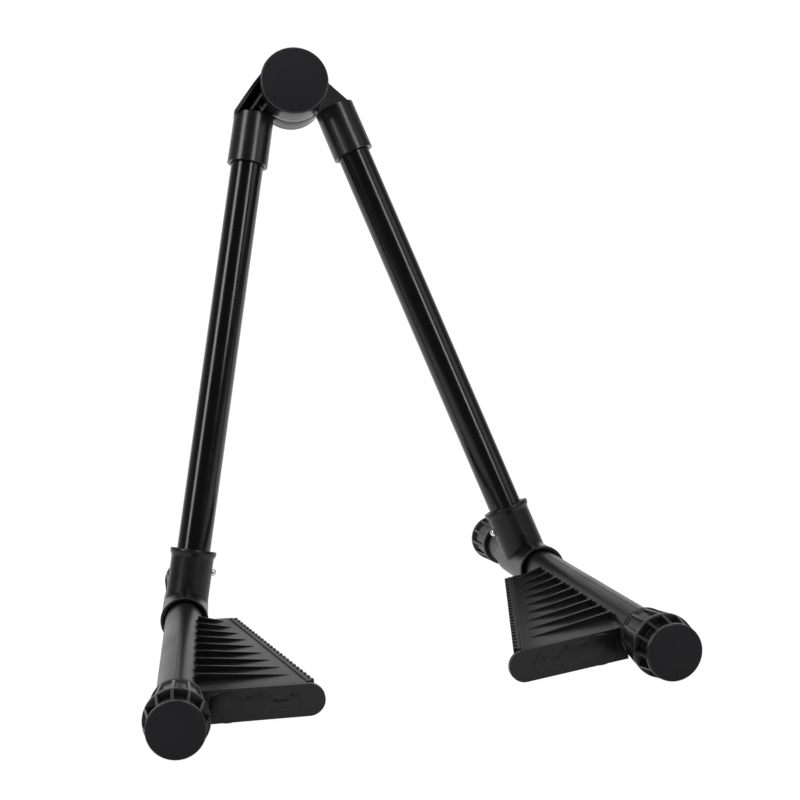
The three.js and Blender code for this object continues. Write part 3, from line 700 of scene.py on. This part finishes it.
def wing_pad(side):
    bm = bmesh.new()
    first, last = 0.95, EDGE.length - 1.4
    low, top = TOP - 3.8, TOP + 0.35
    section = [(0.7, low), (0.7, top), (2.3, top), (2.3, low)]
    loft(bm, [[(*edge_point(along, inside), z) for inside, z in section] for along in (first, last)])
    pitch = (last - first) / COMB_TEETH
    for i in range(COMB_TEETH):
        start = first + pitch * (i + (1 - COMB_SHARE) / 2)
        stop = start + pitch * COMB_SHARE
        tooth = [edge_point(start, COMB_IN), edge_point(start, COMB_OUT)]
        tooth += [edge_point(stop, COMB_OUT), edge_point(stop, COMB_IN)]
        prism(bm, tooth, low, top)
    bmesh.ops.transform(bm, matrix=TILT, verts=bm.verts)
    sided_piece(bm, side, "comb_strip", level_frame, "wing_pad", rubber, 0.12, f"{side}_wing_body")


# Hinge caps: a rounded rim with a finer matte face
def hinge_cap(name, node, body, radius, start, way, thickness):
    bm = bmesh.new()

    def at(d):
        return start + way * d

    outer = thickness - 0.06
    rim = [
        (0, at(0)), (7.4, at(0)), (7.4, at(-3.4)), (8.7, at(-3.4)), (8.7, at(0)), (radius - 0.3, at(0)),
        (radius, at(0.3)), (radius, at(thickness - 1.1)), (radius - 0.15, at(thickness - 0.65)),
        (radius - 0.55, at(thickness - 0.2)), (radius - 1.0, at(outer)), (0, at(outer)),
    ]
    turned(bm, rim, DISC_ROUND)
    finish_piece(bm, name, hinge_frame(), node, body, arm_plastic)
    bm = bmesh.new()
    face = [(0, 0), (radius - 0.95, 0), (radius - 0.95, 0.03), (radius - 1.15, 0.16), (0, 0.16)]
    turned(bm, [(r, at(outer + d)) for r, d in face], DISC_ROUND)
    finish_piece(bm, f"{name}_face", hinge_frame(), None, body, disc_plastic)


for side in SIDES:
    leg_tube(side)
    hinge_arm(side)
    connector(side)
    rear_sleeve(side)
    end_cap(side, "front_end_cap")
    end_cap(side, "rear_end_cap")
    wing(side)
    wing_pad(side)
hinge_cap("front_disc_cap", "hinge_front_cap", "left_leg", 19.8, -18.3, -1, 3.7)
hinge_cap("rear_disc_cap", "hinge_rear_cap", "right_leg", 18.8, 10.0, 1, 3.5)

# Camera at the photograph's place, fitted in a frame of its own at the hinge
# The focal length and the centre are in pixels of the photograph
PIXELS, SENSOR = 800, 36
focal, centre_x, centre_y = 1342.08, 325.93, 401.15
yaw, pitch, roll = math.radians(7.30), math.radians(-7.26), math.radians(-6.29)
fitted = Matrix.Translation((0, 118.2511, 299.82496)) @ Matrix.Rotation(-LEAN, 4, "X")
moved = hinge_frame() @ fitted.inverted()
eye = (moved @ Vector((-102.89, -687.4689, 217.72))) * MM
ahead = Vector((math.sin(yaw) * math.cos(pitch), math.cos(yaw) * math.cos(pitch), math.sin(pitch)))
level = Vector((math.cos(yaw), -math.sin(yaw), 0))
plumb = level.cross(ahead)
right = math.cos(roll) * level + math.sin(roll) * plumb
up = -math.sin(roll) * level + math.cos(roll) * plumb
right, up, ahead = (moved.to_3x3() @ axis for axis in (right, up, ahead))
lens = bpy.data.cameras.new("camera")
lens.sensor_width = SENSOR
lens.lens = focal / PIXELS * SENSOR
lens.shift_x = (PIXELS / 2 - centre_x) / PIXELS
lens.shift_y = (centre_y - PIXELS / 2) / PIXELS
lens.clip_start = 0.01
camera = bpy.data.objects.new("camera", lens)
camera.matrix_world = Matrix((
    (right.x, up.x, -ahead.x, eye.x),
    (right.y, up.y, -ahead.y, eye.y),
    (right.z, up.z, -ahead.z, eye.z),
    (0, 0, 0, 1),
))
bpy.context.scene.collection.objects.link(camera)
bpy.context.scene.camera = camera


# Floor, world and soft lamps: camera and transmission rays see plain white, glossy ones a part of it
def combined(tree, operation, *sources):
    node = tree.nodes.new("ShaderNodeMath")
    node.operation = operation
    for i, source in enumerate(sources):
        if isinstance(source, float):
            node.inputs[i].default_value = source
        else:
            tree.links.new(source, node.inputs[i])
    return node.outputs[0]


def seen(tree, glossy):
    rays = tree.nodes.new("ShaderNodeLightPath")
    shown = combined(tree, "MULTIPLY", rays.outputs["Is Glossy Ray"], glossy)
    shown = combined(tree, "MAXIMUM", shown, rays.outputs["Is Transmission Ray"])
    return combined(tree, "MAXIMUM", shown, rays.outputs["Is Camera Ray"])


WIDE, UNDER = 6, -0.0004
floor_mesh = bpy.data.meshes.new("floor")
corners = [(-WIDE, -WIDE, UNDER), (WIDE, -WIDE, UNDER), (WIDE, WIDE, UNDER), (-WIDE, WIDE, UNDER)]
floor_mesh.from_pydata(corners, [], [(0, 1, 2, 3)])
floor = bpy.data.objects.new("floor", floor_mesh)
bpy.context.scene.collection.objects.link(floor)
paper, tree, shader = principled("floor_paper", (0.88, 0.88, 0.88), 0.9)
shader.inputs["Specular IOR Level"].default_value = 0.0
glow = tree.nodes.new("ShaderNodeEmission")
glow.inputs["Strength"].default_value = 1.1
blend = tree.nodes.new("ShaderNodeMixShader")
places = tree.nodes.new("ShaderNodeTexCoord")
along = tree.nodes.new("ShaderNodeSeparateXYZ")
tree.links.new(places.outputs["Object"], along.inputs["Vector"])
far = spread(tree, along.outputs["Y"], 0.30, 1.0, -0.12, 0.3)
tree.links.new(combined(tree, "MULTIPLY", seen(tree, far), 0.9), blend.inputs["Fac"])
tree.links.new(shader.outputs["BSDF"], blend.inputs[1])
tree.links.new(glow.outputs["Emission"], blend.inputs[2])
tree.links.new(blend.outputs["Shader"], tree.nodes["Material Output"].inputs["Surface"])
floor_mesh.materials.append(paper)

world = bpy.data.worlds.new("studio")
bpy.context.scene.world = world
world.use_nodes = True
tree = world.node_tree
sky = tree.nodes["Background"]
bearings = tree.nodes.new("ShaderNodeTexCoord")
split = tree.nodes.new("ShaderNodeSeparateXYZ")
tree.links.new(bearings.outputs["Generated"], split.inputs["Vector"])
ambient = spread(tree, split.outputs["Y"], 0.05, 0.25, -0.25, 0.35)
pick = tree.nodes.new("ShaderNodeMix")
pick.data_type = "FLOAT"
back = spread(tree, split.outputs["Y"], 0.02, 1.0, 0.45, 0.95)
high = spread(tree, split.outputs["Z"], 1.0, 0.3, 0.28, 0.46)
tree.links.new(seen(tree, combined(tree, "MULTIPLY", back, high)), pick.inputs["Factor"])
tree.links.new(ambient, pick.inputs["A"])
pick.inputs["B"].default_value = 1.05
tree.links.new(pick.outputs["Result"], sky.inputs["Strength"])
sky.inputs["Color"].default_value = (1, 1, 1, 1)


def lamp(name, place, aim, width, height, power):
    data = bpy.data.lights.new(name, "AREA")
    data.shape = "RECTANGLE"
    data.size = width
    data.size_y = height
    data.energy = power
    light = bpy.data.objects.new(name, data)
    light.location = place
    light.rotation_euler = (Vector(aim) - Vector(place)).to_track_quat("-Z", "Y").to_euler()
    bpy.context.scene.collection.objects.link(light)


lamp("key", (-1.1, -0.6, 1.1), (0, 0, 0.15), 0.40, 1.3, 10)
lamp("fill", (0.73, -1.14, 0.98), (0, 0, 0.15), 0.28, 1.1, 6)
lamp("side", (1.35, -0.6, 0.75), (0, 0, 0.12), 0.8, 0.8, 1.6)
lamp("top", (0.0, 0.3, 1.6), (0, 0, 0.1), 1.4, 0.9, 8)

bpy.context.scene.view_settings.view_transform = "Standard"
